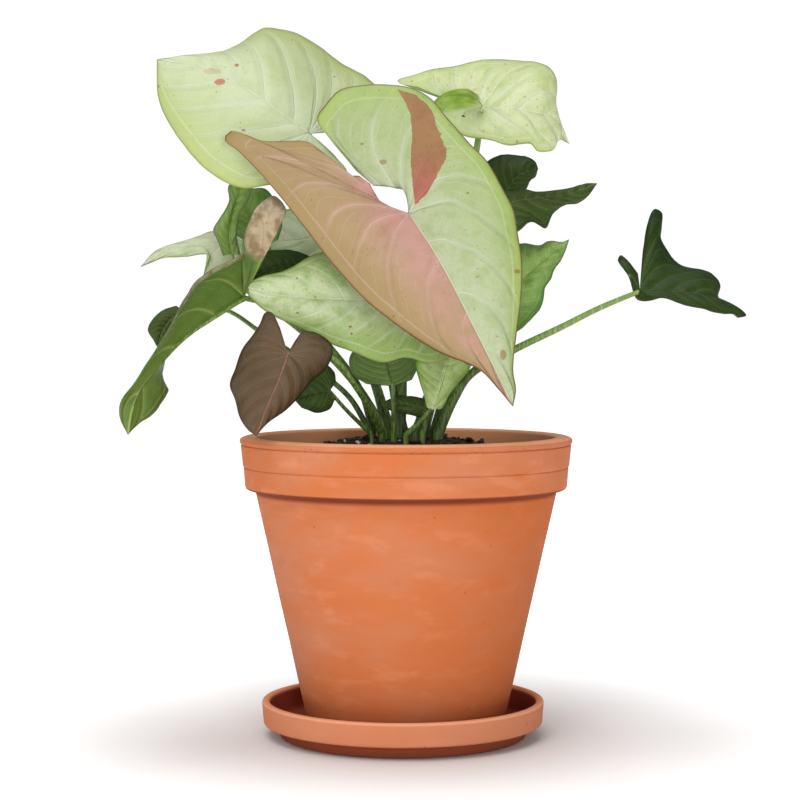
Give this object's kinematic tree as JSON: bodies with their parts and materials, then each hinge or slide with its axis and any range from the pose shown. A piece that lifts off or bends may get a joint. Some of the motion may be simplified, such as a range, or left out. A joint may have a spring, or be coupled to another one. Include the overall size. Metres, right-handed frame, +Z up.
{
  "type": "potted arrowhead plant",
  "caption": "Bushy arrowhead plant with pink and pale green leaves, in a terracotta pot that stands in a terracotta saucer.",
  "frame": {"origin": "point of the saucer's underside on the pot's axis, where the object rests; the saucer sits 1.5 mm to the left of it", "axes": "+Z up along the pot's axis, -Y to the front, where the big half pink leaf looks, +X to the right"},
  "size_m": [0.3069, 0.1675, 0.3572],
  "materials": {
    "terracotta": "unglazed fired clay, matt",
    "saucer_clay": "unglazed fired clay, matt",
    "soil": "dark, rough, damp",
    "leaf_variegated": "satin, half pink and half pale green",
    "leaf_pale": "satin, pale green with whitish veins",
    "leaf_green": "satin, mid green",
    "leaf_dark": "satin, dark green",
    "leaf_bronze": "satin, bronze brown"
  },
  "bodies": {
    "root": {"saucer": "saucer_clay", "pot": "terracotta", "soil": "soil", "leaf_front": "leaf_variegated", "leaf_upper_left": "leaf_pale", "leaf_upper_right": "leaf_pale", "leaf_middle": "leaf_pale", "leaf_left_pale": "leaf_pale", "leaf_young": "leaf_green", "leaf_left_long": "leaf_green", "leaf_back_left": "leaf_green", "leaf_right_mid": "leaf_green", "leaf_bronze": "leaf_bronze", "leaf_low_left": "leaf_dark", "leaf_left_curled": "leaf_dark", "leaf_dark_left": "leaf_dark", "leaf_far_left": "leaf_dark", "leaf_inner_left": "leaf_dark", "leaf_inner_right": "leaf_dark", "leaf_right_dark": "leaf_dark", "leaf_right_pointed": "leaf_dark", "leaf_reaching": "leaf_dark"}
  },
  "joints": []
}
